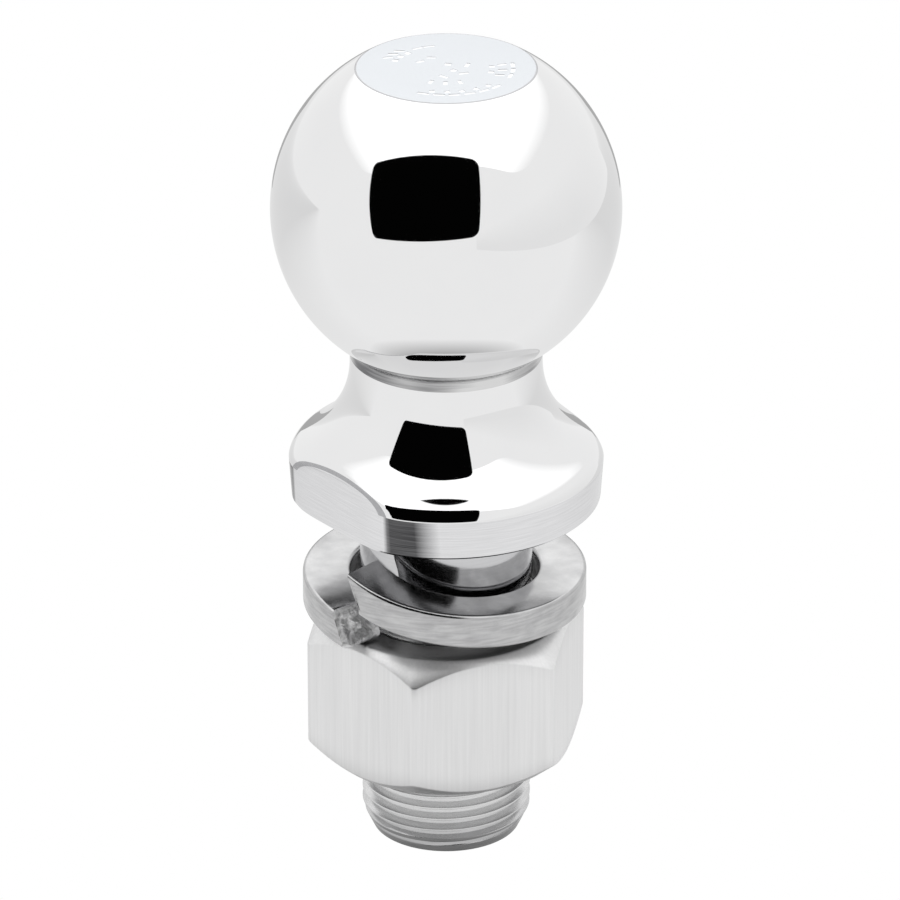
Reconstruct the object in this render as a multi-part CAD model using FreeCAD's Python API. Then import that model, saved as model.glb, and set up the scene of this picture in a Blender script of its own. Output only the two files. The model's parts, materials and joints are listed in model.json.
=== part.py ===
import FreeCAD
import Part
import math
import os

# Trailer hitch ball with its lock washer and hex nut.
# Origin: centre of the flange's underside, the face that sits on the drawbar.  +Z runs up
# through the ball, and the two wrench flats on the flange face -Y and +Y.  Millimetres.

INCH = 25.4

# Ball and the top flat that is faced off for the size stamp
BALL_R = INCH
BALL_CENTRE_Z = 45.5
TOP_FLAT_R = 13.0

# Neck, flare and flange: a waist under the ball that opens in one sweep to the rim
NECK_R = 14.05
NECK_FILLET_R = 15.6
FLARE_NORMAL_DEG = 56.0
SHOULDER_R = 3.8
SHOULDER_END_DEG = 15.0
RIM_TOP_R = 23.06
RIM_TOP_Z = 6.05
RIM_FOOT_R = 22.66
RIM_EDGE = 0.35
ACROSS_WRENCH_FLATS = 41.0

# Shank: 1 in diameter, 2-1/8 in long, with a 1 in-14 thread below a plain length
SHANK_R = 0.5 * INCH
SHANK_LENGTH = 2.125 * INCH
PLAIN_LENGTH = 0.5 * INCH
LEAD_LENGTH = 3.2
LEAD_END_R = 11.0
PITCH = INCH / 14

# Thread forms, 60 degrees.  The stud's groove is wider than the nut's tooth by FLANK_PLAY.
STUD_MAJOR_R = 12.5
STUD_ROOT_R = 11.55
NUT_MAJOR_R = 12.8
NUT_MINOR_R = 11.75
CREST_WIDTH = PITCH / 8
FLANK_SLOPE = math.tan(math.radians(30))
FLANK_PLAY = 0.24
THREAD_TOOL_EXTRA = 0.2
THREAD_START_Z = -SHANK_LENGTH - PITCH

# Helical spring lock washer, left-hand, split, standing open between its two cut ends
WASHER_INNER_R = 13.9
WASHER_OUTER_R = 20.9
WASHER_THICKNESS = 5.3
WASHER_BEVEL = 0.6
WASHER_SPLIT_DEG = -82.0
WASHER_WRAP_DEG = 351.0
WASHER_UPPER_END_Z = -5.8
WASHER_MIDDLE_Z = -11.9
WASHER_LOWER_END_DROP = 1.0
WASHER_UPPER_REACH = 0.13
WASHER_LOWER_REACH = 0.05
WASHER_CUT_LEAN = 0.5
WASHER_OFF_CENTRE = 0.35
WASHER_STATIONS = 60
WASHER_PLAIN_END = 0.02

# Hex nut, 1-1/2 in wrench size made to the low side of its tolerance
NUT_ACROSS_FLATS = 37.3
NUT_HEIGHT = 22.3
NUT_TOP_Z = -18.7
NUT_CORNER_DEG = 8.2
NUT_CORNER_ROUND = 1.3
NUT_FACE_R = 17.6
NUT_CHAMFER_DEG = 40.0
NUT_MOUTH_R = 13.3
BORE_TOOL_EXTRA = 1.0

UP = FreeCAD.Vector(0, 0, 1)
ORIGIN = FreeCAD.Vector(0, 0, 0)


def at(radius, z):
    """A point of an outline that is turned about Z."""
    return FreeCAD.Vector(radius, 0, z)


def on_arc(centre, radius, degrees):
    """The point of an outline's arc at an angle measured from +X towards +Z."""
    angle = math.radians(degrees)
    return centre + at(radius * math.cos(angle), radius * math.sin(angle))


def line(start, end):
    return Part.LineSegment(start, end).toShape()


def arc(centre, radius, start_deg, end_deg):
    middle_deg = 0.5 * (start_deg + end_deg)
    points = [on_arc(centre, radius, degrees) for degrees in (start_deg, middle_deg, end_deg)]
    return Part.Arc(*points).toShape()


def turned(edges):
    """The solid that an outline in the XZ plane makes when it turns about Z."""
    return Part.Face(Part.Wire(edges)).revolve(ORIGIN, UP, 360)


def turned_polygon(points):
    corners = [at(radius, z) for radius, z in points]
    return turned([line(a, b) for a, b in zip(corners, corners[1:] + corners[:1])])


def helical_groove(inner_r, outer_r, outer_width, widens_outward, low_z, turns):
    """A right-hand helical tool with 60-degree flanks, to be cut from a thread blank."""
    narrowing = 2 * FLANK_SLOPE * (outer_r - inner_r)
    inner_width = outer_width - narrowing if widens_outward else outer_width + narrowing
    corners = [
        at(inner_r, low_z - inner_width / 2),
        at(outer_r, low_z - outer_width / 2),
        at(outer_r, low_z + outer_width / 2),
        at(inner_r, low_z + inner_width / 2),
    ]
    one_turn_each = []
    for turn in range(turns):
        helix = Part.makeHelix(PITCH, PITCH, inner_r)
        helix.translate(UP * (low_z + turn * PITCH))
        one_turn_each += helix.Edges
    tool = Part.BRepOffsetAPI.MakePipeShell(Part.Wire(one_turn_each))
    tool.setBiNormalMode(UP)
    tool.add(Part.makePolygon(corners + corners[:1]))
    tool.build()
    tool.makeSolid()
    return tool.shape()


def stud_outline():
    """Half of the stud's section: ball, neck, flare, rim and shank, closed along the axis."""
    ball_centre = at(0, BALL_CENTRE_Z)
    flat_deg = math.degrees(math.acos(TOP_FLAT_R / BALL_R))
    neck_deg = -math.degrees(math.acos(NECK_R / BALL_R))
    ball_top = on_arc(ball_centre, BALL_R, flat_deg)
    ball_foot = on_arc(ball_centre, BALL_R, neck_deg)

    shoulder_centre = at(RIM_TOP_R, RIM_TOP_Z) - on_arc(ORIGIN, SHOULDER_R, SHOULDER_END_DEG)
    flare_foot = on_arc(shoulder_centre, SHOULDER_R, FLARE_NORMAL_DEG)
    normal = on_arc(ORIGIN, 1, FLARE_NORMAL_DEG)
    fillet_centre_r = NECK_R + NECK_FILLET_R
    # the flare is tangent to both arcs, which fixes the height of the fillet's centre
    fillet_centre_z = (flare_foot.dot(normal) + NECK_FILLET_R - fillet_centre_r * normal.x) / normal.z
    fillet_centre = at(fillet_centre_r, fillet_centre_z)
    flare_top = fillet_centre - normal * NECK_FILLET_R

    corners = [
        at(RIM_TOP_R, RIM_TOP_Z),
        at(RIM_FOOT_R, RIM_EDGE),
        at(RIM_FOOT_R - RIM_EDGE, 0),
        at(SHANK_R, 0),
        at(SHANK_R, -PLAIN_LENGTH),
        at(STUD_MAJOR_R, -PLAIN_LENGTH - (SHANK_R - STUD_MAJOR_R)),
        at(STUD_MAJOR_R, LEAD_LENGTH - SHANK_LENGTH),
        at(LEAD_END_R, -SHANK_LENGTH),
        at(0, -SHANK_LENGTH),
        at(0, ball_top.z),
    ]
    return [
        line(corners[-1], ball_top),
        arc(ball_centre, BALL_R, flat_deg, neck_deg),
        line(ball_foot, at(NECK_R, fillet_centre_z)),
        arc(fillet_centre, NECK_FILLET_R, 180, 180 + FLARE_NORMAL_DEG),
        line(flare_top, flare_foot),
        arc(shoulder_centre, SHOULDER_R, FLARE_NORMAL_DEG, SHOULDER_END_DEG),
    ] + [line(a, b) for a, b in zip(corners, corners[1:])]


def wrench_flat_cutter(side):
    """A block that leaves one flat on the flange and stays below the ball."""
    reach = 2 * RIM_TOP_R
    height = BALL_CENTRE_Z - BALL_R
    block = Part.makeBox(reach, RIM_TOP_R, height)
    near_y = ACROSS_WRENCH_FLATS / 2 if side > 0 else -ACROSS_WRENCH_FLATS / 2 - RIM_TOP_R
    block.translate(FreeCAD.Vector(-reach / 2, near_y, 0))
    return block


def make_ball_stud():
    """Ball, neck, flange and threaded shank, forged and turned in one piece."""
    stud = turned(stud_outline())
    for side in (-1, 1):
        stud = stud.cut(wrench_flat_cutter(side))
    cut_r = STUD_MAJOR_R + THREAD_TOOL_EXTRA
    cut_width = PITCH - CREST_WIDTH + 2 * FLANK_SLOPE * THREAD_TOOL_EXTRA
    turns = math.ceil((SHANK_LENGTH - PLAIN_LENGTH) / PITCH)
    groove = helical_groove(STUD_ROOT_R, cut_r, cut_width, True, THREAD_START_Z, turns)
    return stud.cut(groove)


def washer_top_z(part_way):
    """Height of the washer's top face, from its upper end (0) to its lower end (1)."""
    lift = (WASHER_UPPER_END_Z - WASHER_MIDDLE_Z) * math.exp(-part_way / WASHER_UPPER_REACH)
    drop = WASHER_LOWER_END_DROP * math.exp((part_way - 1) / WASHER_LOWER_REACH)
    return WASHER_MIDDLE_Z + lift - drop


def washer_section(part_way):
    """The washer's bevelled section at one station; at the two cut ends it leans."""
    angle = math.radians(WASHER_SPLIT_DEG + WASHER_WRAP_DEG * part_way)
    out = FreeCAD.Vector(math.cos(angle), math.sin(angle), 0)
    along = FreeCAD.Vector(-math.sin(angle), math.cos(angle), 0)
    inner, outer, bevel = WASHER_INNER_R, WASHER_OUTER_R, WASHER_BEVEL
    outline = [
        (inner + bevel, 0),
        (outer - bevel, 0),
        (outer, -bevel),
        (outer, bevel - WASHER_THICKNESS),
        (outer - bevel, -WASHER_THICKNESS),
        (inner + bevel, -WASHER_THICKNESS),
        (inner, bevel - WASHER_THICKNESS),
        (inner, -bevel),
    ]
    top = washer_top_z(part_way)
    lean = WASHER_CUT_LEAN if part_way in (0, 1) else 0
    points = [out * radius + along * (-lean * depth) + UP * (top + depth) for radius, depth in outline]
    return Part.makePolygon(points + points[:1])


def make_lock_washer():
    """A bar of bevelled section wound once, left-hand, and cut through at the split."""
    between_cuts = [i / WASHER_STATIONS for i in range(WASHER_STATIONS + 1)]
    # no station stands close to a leaning cut, so that the loft doesn't fold there
    between_cuts = [way for way in between_cuts if WASHER_PLAIN_END < way < 1 - WASHER_PLAIN_END]
    washer = Part.makeLoft([washer_section(way) for way in [0] + between_cuts + [1]], True, False)
    split = math.radians(WASHER_SPLIT_DEG)
    washer.translate(FreeCAD.Vector(math.cos(split), math.sin(split), 0) * WASHER_OFF_CENTRE)
    return washer


def make_hex_nut():
    """Hex prism with round chamfers on both faces and a cut internal thread."""
    low_z = NUT_TOP_Z - NUT_HEIGHT
    corner_r = NUT_ACROSS_FLATS / 2 / math.cos(math.radians(30))
    corners = [FreeCAD.Vector(corner_r * math.cos(a), corner_r * math.sin(a), low_z)
               for a in (math.radians(NUT_CORNER_DEG + 60 * i) for i in range(6))]
    prism = Part.Face(Part.makePolygon(corners + corners[:1])).extrude(UP * NUT_HEIGHT)
    upright = [edge for edge in prism.Edges
               if math.isclose(abs(edge.tangentAt(edge.FirstParameter).z), 1)]
    prism = prism.makeFillet(NUT_CORNER_ROUND, upright)

    chamfer_run = corner_r - NUT_FACE_R
    chamfer_drop = chamfer_run * math.tan(math.radians(NUT_CHAMFER_DEG))
    blank = turned_polygon([
        (0, low_z),
        (NUT_FACE_R, low_z),
        (corner_r, low_z + chamfer_drop),
        (corner_r, NUT_TOP_Z - chamfer_drop),
        (NUT_FACE_R, NUT_TOP_Z),
        (0, NUT_TOP_Z),
    ])
    mouth_drop = NUT_MOUTH_R - NUT_MINOR_R
    bore = turned_polygon([
        (0, low_z - BORE_TOOL_EXTRA),
        (NUT_MOUTH_R + BORE_TOOL_EXTRA, low_z - BORE_TOOL_EXTRA),
        (NUT_MINOR_R, low_z + mouth_drop),
        (NUT_MINOR_R, NUT_TOP_Z - mouth_drop),
        (NUT_MOUTH_R + BORE_TOOL_EXTRA, NUT_TOP_Z + BORE_TOOL_EXTRA),
        (0, NUT_TOP_Z + BORE_TOOL_EXTRA),
    ])
    nut = prism.common(blank).cut(bore)

    # the nut's groove follows the stud's ridge, half a pitch from the stud's own groove
    tooth_tip = PITCH - CREST_WIDTH - FLANK_PLAY - 2 * FLANK_SLOPE * (STUD_MAJOR_R - NUT_MINOR_R)
    cut_r = NUT_MINOR_R - THREAD_TOOL_EXTRA
    groove_root = PITCH - tooth_tip - 2 * FLANK_SLOPE * (NUT_MAJOR_R - NUT_MINOR_R)
    turns_to_nut = math.floor((low_z - THREAD_START_Z) / PITCH) - 1
    start_z = THREAD_START_Z + (turns_to_nut + 0.5) * PITCH
    turns = math.ceil(NUT_HEIGHT / PITCH) + 3
    groove = helical_groove(cut_r, NUT_MAJOR_R, groove_root, False, start_z, turns)
    return nut.cut(groove)


def main():
    os.makedirs("parts", exist_ok=True)
    pieces = {
        "ball_stud": make_ball_stud(),
        "lock_washer": make_lock_washer(),
        "hex_nut": make_hex_nut(),
    }
    for name, shape in pieces.items():
        solid = shape.Solids[0]
        box = solid.BoundBox
        print(name, "solids", len(shape.Solids), "valid", solid.isValid(), "volume", round(solid.Volume, 1),
              "z", round(box.ZMin, 2), round(box.ZMax, 2), "faces", len(solid.Faces))
        solid.exportStep(os.path.join("parts", name + ".step"))


main()
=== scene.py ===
# %% [markdown]
# # A chromed hitch ball, finished in Blender
# The real object is a towing ball that bolts through a car's drawbar. It is three pieces: a forged and
# chromed ball stud, a split spring lock washer and a hexagon nut. Their engineering model is already
# loaded as a fixed frame, so every size here is taken from it or named once, in metres. This lesson
# rebuilds each surface finely enough for mirror chrome, where even a small facet would show.

# %% Load the frame
import json
import math

import bpy
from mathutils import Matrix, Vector, noise


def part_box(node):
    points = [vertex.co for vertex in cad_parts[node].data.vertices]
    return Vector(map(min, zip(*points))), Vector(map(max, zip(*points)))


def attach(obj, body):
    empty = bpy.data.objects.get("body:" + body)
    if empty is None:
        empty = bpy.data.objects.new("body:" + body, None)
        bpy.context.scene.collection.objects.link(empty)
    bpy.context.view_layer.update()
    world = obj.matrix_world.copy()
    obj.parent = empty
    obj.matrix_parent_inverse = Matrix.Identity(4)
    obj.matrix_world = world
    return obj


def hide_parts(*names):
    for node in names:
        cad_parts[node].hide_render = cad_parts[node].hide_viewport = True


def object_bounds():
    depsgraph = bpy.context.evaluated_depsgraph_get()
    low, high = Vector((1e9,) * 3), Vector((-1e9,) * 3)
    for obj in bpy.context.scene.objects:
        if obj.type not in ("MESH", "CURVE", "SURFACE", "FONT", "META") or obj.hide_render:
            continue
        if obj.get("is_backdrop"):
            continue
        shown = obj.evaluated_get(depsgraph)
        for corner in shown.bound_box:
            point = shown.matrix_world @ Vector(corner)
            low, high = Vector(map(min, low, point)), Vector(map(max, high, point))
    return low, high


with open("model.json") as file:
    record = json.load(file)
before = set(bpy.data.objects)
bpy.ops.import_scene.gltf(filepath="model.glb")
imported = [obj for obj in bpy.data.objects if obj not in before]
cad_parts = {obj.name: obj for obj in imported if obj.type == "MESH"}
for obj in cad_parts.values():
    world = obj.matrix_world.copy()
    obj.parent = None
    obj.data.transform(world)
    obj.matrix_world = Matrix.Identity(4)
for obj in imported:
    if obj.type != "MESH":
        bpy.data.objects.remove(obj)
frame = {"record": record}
cad_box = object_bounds()
stud_low, stud_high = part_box("ball_stud")
washer_low, washer_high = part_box("lock_washer")
nut_low, nut_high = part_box("hex_nut")
print("stud from", round(stud_low[2], 5), "to", round(stud_high[2], 5), "m")

# %% [markdown]
# ## Sizes
# The heights come from the frame. The radii are the few driving sizes of a 2 inch ball on a 1 inch shank,
# written in millimetres times MM so that they read like the drawing.

# %% Driving sizes
MM = 0.001
INCH = 25.4 * MM
COLUMNS = 144                      # faces around the stud and around the nut's bore

BALL_R = INCH
TOP_FLAT_R = 13.0 * MM
TOP_Z = stud_high[2]
BALL_Z = TOP_Z - math.sqrt(BALL_R ** 2 - TOP_FLAT_R ** 2)
TOP_EDGE_R = 0.5 * MM              # the small round where the facing tool met the ball

NECK_R = 14.05 * MM
NECK_CORNER_R = 1.5 * MM
NECK_DULL = 0.9 * MM               # how far down the neck the dull plating runs
NECK_FILLET_R = 15.6 * MM
FLARE_NORMAL = math.radians(56)
SHOULDER_R = 3.8 * MM
SHOULDER_END = math.radians(15)
RIM_TOP_R = 23.06 * MM
RIM_TOP_Z = 6.05 * MM
RIM_FOOT_R = 22.66 * MM
RIM_EDGE = 0.35 * MM
WRENCH_FLAT_Y = 20.5 * MM

SHANK_R = 12.7 * MM
SHANK_END_Z = stud_low[2]
PLAIN_END_Z = -12.7 * MM
PITCH = INCH / 14
THREAD_CREST_R = 12.5 * MM
THREAD_ROOT_R = 11.55 * MM
LEAD_LENGTH = 3.2 * MM
LEAD_END_R = 11.0 * MM
print("ball centre at", round(BALL_Z / MM, 2), "mm, thread pitch", round(PITCH / MM, 3), "mm")

# %% [markdown]
# ## A pen for node trees
# Both the thread and the metals are node trees. Writing `1 - mask * 0.3` is easier to read than four calls
# that add Math nodes, so a small class wraps a socket and turns Python's operators into nodes. A second
# class makes any other node from its type, its settings and what goes into its sockets.

# %% Sockets that do arithmetic
class Signal:
    """One socket's number, with operators that add Math nodes."""

    def __init__(self, bench, socket):
        self.bench = bench
        self.socket = socket

    def __add__(self, other):
        return self.bench.math("ADD", self, other)

    def __sub__(self, other):
        return self.bench.math("SUBTRACT", self, other)

    def __mul__(self, other):
        return self.bench.math("MULTIPLY", self, other)

    def __truediv__(self, other):
        return self.bench.math("DIVIDE", self, other)

    def __radd__(self, other):
        return self.bench.math("ADD", other, self)

    def __rsub__(self, other):
        return self.bench.math("SUBTRACT", other, self)

    def __rmul__(self, other):
        return self.bench.math("MULTIPLY", other, self)

    def clamp(self, low=0.0, high=1.0):
        return self.bench.math("MINIMUM", self.bench.math("MAXIMUM", self, low), high)


class Bench:
    """A node tree and the two ways this lesson adds to it."""

    def __init__(self, tree):
        self.tree = tree

    def node(self, kind, settings=None, inputs=None, output=0):
        made = self.tree.nodes.new(kind)
        for name, value in (settings or {}).items():
            setattr(made, name, value)
        for key, value in (inputs or {}).items():
            self.feed(made.inputs[key], value)
        return Signal(self, made.outputs[output])

    def feed(self, socket, value):
        if isinstance(value, Signal):
            self.tree.links.new(value.socket, socket)
        else:
            socket.default_value = value

    def math(self, operation, *values):
        return self.node("ShaderNodeMath", {"operation": operation}, dict(enumerate(values)))

    def split(self, vector):
        made = self.tree.nodes.new("ShaderNodeSeparateXYZ")
        self.feed(made.inputs[0], vector)
        return [Signal(self, socket) for socket in made.outputs]


print("Signal adds, subtracts, multiplies and divides; Bench makes every other node")

# %% [markdown]
# ## The thread, as a rule
# A cut thread repeats one profile along a helix, which is what Geometry Nodes do well. A flat grid has one
# direction along the profile and one around the shank. Each grid point is lifted onto a helix that climbs
# one pitch a turn, so the crest and root edges run exactly along rows of faces and stay crisp. Heights past
# either end are held at that end, where the surplus points fall together and Merge by Distance welds them
# into one clean ring. The same tree makes the stud's thread and, with the profile turned outward and its
# ends opened, the thread inside the nut.

# %% The thread tree
ROWS_PER_PITCH = 16
CREST_SHARE = 1 / 16               # half of the crest flat, as a share of the pitch
FLANK_SHARE = 5 / 16


def thread_tree():
    """Geometry Nodes for one helical thread surface, open at both ends."""
    tree = bpy.data.node_groups.new("helical_thread", "GeometryNodeTree")
    sizes = ("Turns", "Start Angle", "Start Z", "Low Z", "High Z", "Crest Radius", "Root Radius",
             "Low End Radius", "Low Slope", "High End Radius", "High Slope", "Runout", "Side")
    for name in sizes:
        tree.interface.new_socket(name, in_out="INPUT", socket_type="NodeSocketFloat")
    tree.interface.new_socket("Metal", in_out="INPUT", socket_type="NodeSocketMaterial")
    tree.interface.new_socket("Thread", in_out="OUTPUT", socket_type="NodeSocketGeometry")
    bench = Bench(tree)
    group_in = tree.nodes.new("NodeGroupInput")
    size = {name: Signal(bench, group_in.outputs[name]) for name in sizes}

    rows = size["Turns"] * ROWS_PER_PITCH + 1
    grid = bench.node("GeometryNodeMeshGrid", None,
                      {"Size X": 1.0, "Size Y": 1.0, "Vertices X": rows, "Vertices Y": COLUMNS + 1})
    along, around, _ = bench.split(bench.node("GeometryNodeInputPosition"))
    pitches = (along + 0.5) * size["Turns"]
    turned = around + 0.5
    angle = turned * math.tau + size["Start Angle"]
    height = (pitches + turned) * PITCH + size["Start Z"]

    from_crest = bench.math("ABSOLUTE", bench.math("FRACT", pitches + 0.5) - 0.5)
    depth = ((from_crest - CREST_SHARE) * (1 / FLANK_SHARE)).clamp()
    fade = ((size["High Z"] - height) / size["Runout"]).clamp()
    z = bench.math("MINIMUM", bench.math("MAXIMUM", height, size["Low Z"]), size["High Z"])
    cut = (size["Root Radius"] - size["Crest Radius"]) * depth * fade + size["Crest Radius"]
    low_lead = (z - size["Low Z"]) * size["Low Slope"] + size["Low End Radius"]
    high_lead = (size["High Z"] - z) * size["High Slope"] + size["High End Radius"]
    side = size["Side"]
    inside_leads = bench.math("MINIMUM", low_lead * side, high_lead * side)
    radius = bench.math("MINIMUM", cut * side, inside_leads) * side

    x = bench.math("COSINE", angle) * radius
    y = bench.math("SINE", angle) * radius
    place = bench.node("ShaderNodeCombineXYZ", None, {"X": x, "Y": y, "Z": z})
    shaped = bench.node("GeometryNodeSetPosition", None, {"Geometry": grid, "Position": place})
    welded = bench.node("GeometryNodeMergeByDistance", None, {"Geometry": shaped, "Distance": 0.004 * MM})
    real = bench.node("GeometryNodeRealizeInstances", None, {"Geometry": welded})
    metal = Signal(bench, group_in.outputs["Metal"])
    done = bench.node("GeometryNodeSetMaterial", None, {"Geometry": real, "Material": metal})
    group_out = tree.nodes.new("NodeGroupOutput")
    tree.links.new(done.socket, group_out.inputs[0])
    return tree


THREAD_TREE = thread_tree()
print("thread tree of", len(THREAD_TREE.nodes), "nodes")


def grow(tree, inputs, name):
    """Runs a node tree on an empty mesh and returns the plain mesh that it makes."""
    seed = bpy.data.objects.new(name, bpy.data.meshes.new(name))
    bpy.context.scene.collection.objects.link(seed)
    modifier = seed.modifiers.new(name, "NODES")
    modifier.node_group = tree
    for item in tree.interface.items_tree:
        if item.in_out == "INPUT" and item.name in inputs:
            modifier[item.identifier] = inputs[item.name]
    grown = bpy.data.meshes.new_from_object(seed.evaluated_get(bpy.context.evaluated_depsgraph_get()))
    bpy.data.objects.remove(seed)
    print(name, "grew", len(grown.polygons), "faces")
    return grown

# %% [markdown]
# ## Metals
# Chrome, zinc and bare machined steel are all metals, so the shader is metallic throughout and the finish
# is a matter of roughness, tint and very fine relief. Patterns are measured in millimetres on Object
# coordinates, so they stay on the piece when it turns or slides.

# %% A metal and its shared parts
def metal(name, build):
    """A new metallic material; build receives its bench, its shader and the point in millimetres."""
    made = bpy.data.materials.new(name)
    made.use_nodes = True
    bench = Bench(made.node_tree)
    shader = made.node_tree.nodes["Principled BSDF"]
    shader.inputs["Metallic"].default_value = 1.0
    place = bench.node("ShaderNodeTexCoord", output=3)
    millimetres = bench.node("ShaderNodeVectorMath", {"operation": "SCALE"}, {0: place, "Scale": 1 / MM})
    build(bench, shader, millimetres)
    return made


def stretched(bench, millimetres, x, y, z):
    """The point with each direction scaled, which draws a noise out into streaks."""
    return bench.node("ShaderNodeVectorMath", {"operation": "MULTIPLY"}, {0: millimetres, 1: (x, y, z)})


def grain(bench, vector, scale, detail=3.0):
    inputs = {"Vector": vector, "Scale": scale, "Detail": detail}
    return bench.node("ShaderNodeTexNoise", None, inputs)


def tint(bench, factor, dark, light):
    """A colour between two greys or tints, by a number from 0 to 1."""
    inputs = {0: factor, 6: (*dark, 1), 7: (*light, 1)}
    return bench.node("ShaderNodeMix", {"data_type": "RGBA"}, inputs, output=2)


def relief(bench, shader, height, strength, distance):
    inputs = {"Height": height, "Strength": strength, "Distance": distance}
    bench.feed(shader.inputs["Normal"], bench.node("ShaderNodeBump", None, inputs))


# %% [markdown]
# The ball's chrome is nearly a perfect mirror with a breath of haze. The rim and wrench flats have a softer,
# greyer shine with fine lines in it, as turned or milled steel keeps under plating. The corner under the
# ball is dull and uneven, as where a buffing wheel doesn't reach. The top flat is satin, and the marks in it
# are lighter. The dark patch on the rim beside each flat is painted shade in the rim's colour.

# %% Chrome finishes
CORNER_SHADE_START = 10.3                # millimetres; where the rim begins beside each wrench flat
CORNER_SHADE_X = 13.0                    # and where the painted shade is darkest
CORNER_SHADE_REACH = 4.2


def mirror_chrome(bench, shader, millimetres):
    haze = grain(bench, millimetres, 0.11)
    bench.feed(shader.inputs["Base Color"], tint(bench, haze, (0.79, 0.79, 0.795), (0.82, 0.82, 0.82)))
    bench.feed(shader.inputs["Roughness"], haze * 0.03 + 0.012)


def turned_chrome(bench, shader, millimetres):
    lines = grain(bench, stretched(bench, millimetres, 0.15, 0.15, 5.0), 1.0, 2.0)
    x = bench.math("ABSOLUTE", bench.split(millimetres)[0])
    from_corner = bench.math("ABSOLUTE", x - CORNER_SHADE_X)
    beside_flat = ((x - CORNER_SHADE_START) * 1.6).clamp()
    # painted shade: the rim is darkened beside each wrench flat
    dull = ((1 - from_corner * (1 / CORNER_SHADE_REACH)) * 1.6).clamp() * beside_flat
    shine = (lines * 0.25 + 0.75) - dull * 0.8
    bench.feed(shader.inputs["Base Color"], tint(bench, shine, (0.03, 0.03, 0.032), (0.8, 0.8, 0.81)))
    bench.feed(shader.inputs["Roughness"], lines * 0.1 + 0.1)
    relief(bench, shader, lines, 0.15, 0.02 * MM)


def satin_face(bench, shader, millimetres):
    fine = grain(bench, millimetres, 6.0, 2.0)
    bench.feed(shader.inputs["Base Color"], tint(bench, fine, (0.60, 0.62, 0.645), (0.65, 0.67, 0.69)))
    bench.feed(shader.inputs["Roughness"], fine * 0.1 + 0.38)
    relief(bench, shader, fine, 0.2, 0.02 * MM)


def punched_mark(bench, shader, millimetres):
    fine = grain(bench, millimetres, 4.0)
    bench.feed(shader.inputs["Base Color"], tint(bench, fine, (0.84, 0.85, 0.86), (0.92, 0.92, 0.93)))
    bench.feed(shader.inputs["Roughness"], fine * 0.2 + 0.4)


def dull_corner(bench, shader, millimetres):
    rings = grain(bench, stretched(bench, millimetres, 0.12, 0.12, 3.0), 1.0, 3.0)
    patches = grain(bench, stretched(bench, millimetres, 0.1, 0.1, 0.0), 1.0, 1.0)
    shine = ((rings * 0.9 + patches * 3.0) - 1.5).clamp()
    bench.feed(shader.inputs["Base Color"], tint(bench, shine, (0.16, 0.16, 0.165), (0.66, 0.66, 0.66)))
    bench.feed(shader.inputs["Roughness"], rings * 0.1 + 0.1)


def edge_chrome(bench, shader, millimetres):
    fine = grain(bench, millimetres, 1.0)
    bench.feed(shader.inputs["Base Color"], tint(bench, fine, (0.36, 0.36, 0.37), (0.46, 0.46, 0.47)))
    bench.feed(shader.inputs["Roughness"], fine * 0.2 + 0.2)


# %% [markdown]
# The shank shines too, but over a plain turned surface. The thread has fine lines along its flanks, and
# painted shade that darkens it near its end.

# %% Shank finishes
def shank_chrome(bench, shader, millimetres):
    lines = grain(bench, stretched(bench, millimetres, 0.1, 0.1, 3.0), 1.0, 2.0)
    bench.feed(shader.inputs["Base Color"], tint(bench, lines, (0.5, 0.5, 0.51), (0.62, 0.62, 0.63)))
    bench.feed(shader.inputs["Roughness"], lines * 0.08 + 0.05)


END_SHADE_LENGTH = 7                       # millimetres; how far up from its end the thread carries painted shade


def thread_steel(bench, shader, millimetres):
    lines = grain(bench, stretched(bench, millimetres, 0.3, 0.3, 4.0), 1.0)
    # painted shade: the thread darkens towards its end
    above_end = ((bench.split(millimetres)[2] - SHANK_END_Z / MM) * (1 / END_SHADE_LENGTH)).clamp()
    shine = lines * 0.5 + above_end * 0.5
    bench.feed(shader.inputs["Base Color"], tint(bench, shine, (0.3, 0.3, 0.305), (0.8, 0.8, 0.8)))
    bench.feed(shader.inputs["Roughness"], lines * 0.15 + 0.2)


# %% [markdown]
# The washer looks like zinc over a drawn bar: its rim carries streaks along the bar, and its torn ends are
# rougher and lighter. The nut looks like bright zinc over upright grain, as on drawn hexagon stock.

# %% Zinc finishes
def washer_zinc(bench, shader, millimetres):
    streaks = grain(bench, stretched(bench, millimetres, 0.25, 0.25, 2.2), 1.0, 4.0)
    spots = grain(bench, millimetres, 0.5)
    blend = (streaks * 0.7 + spots * 0.3).clamp()
    bench.feed(shader.inputs["Base Color"], tint(bench, blend, (0.24, 0.24, 0.245), (0.7, 0.7, 0.7)))
    bench.feed(shader.inputs["Roughness"], spots * 0.12 + 0.14)
    relief(bench, shader, streaks, 0.25, 0.05 * MM)


def torn_zinc(bench, shader, millimetres):
    lumps = grain(bench, millimetres, 1.1, 3.0)
    bench.feed(shader.inputs["Base Color"], tint(bench, lumps, (0.45, 0.45, 0.455), (0.95, 0.95, 0.95)))
    bench.feed(shader.inputs["Roughness"], lumps * 0.15 + 0.4)
    relief(bench, shader, lumps, 0.8, 0.3 * MM)


NUT_SHADE_R = 17.9                  # millimetres; inside this the end faces and the bore are darkened with painted shade


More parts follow.
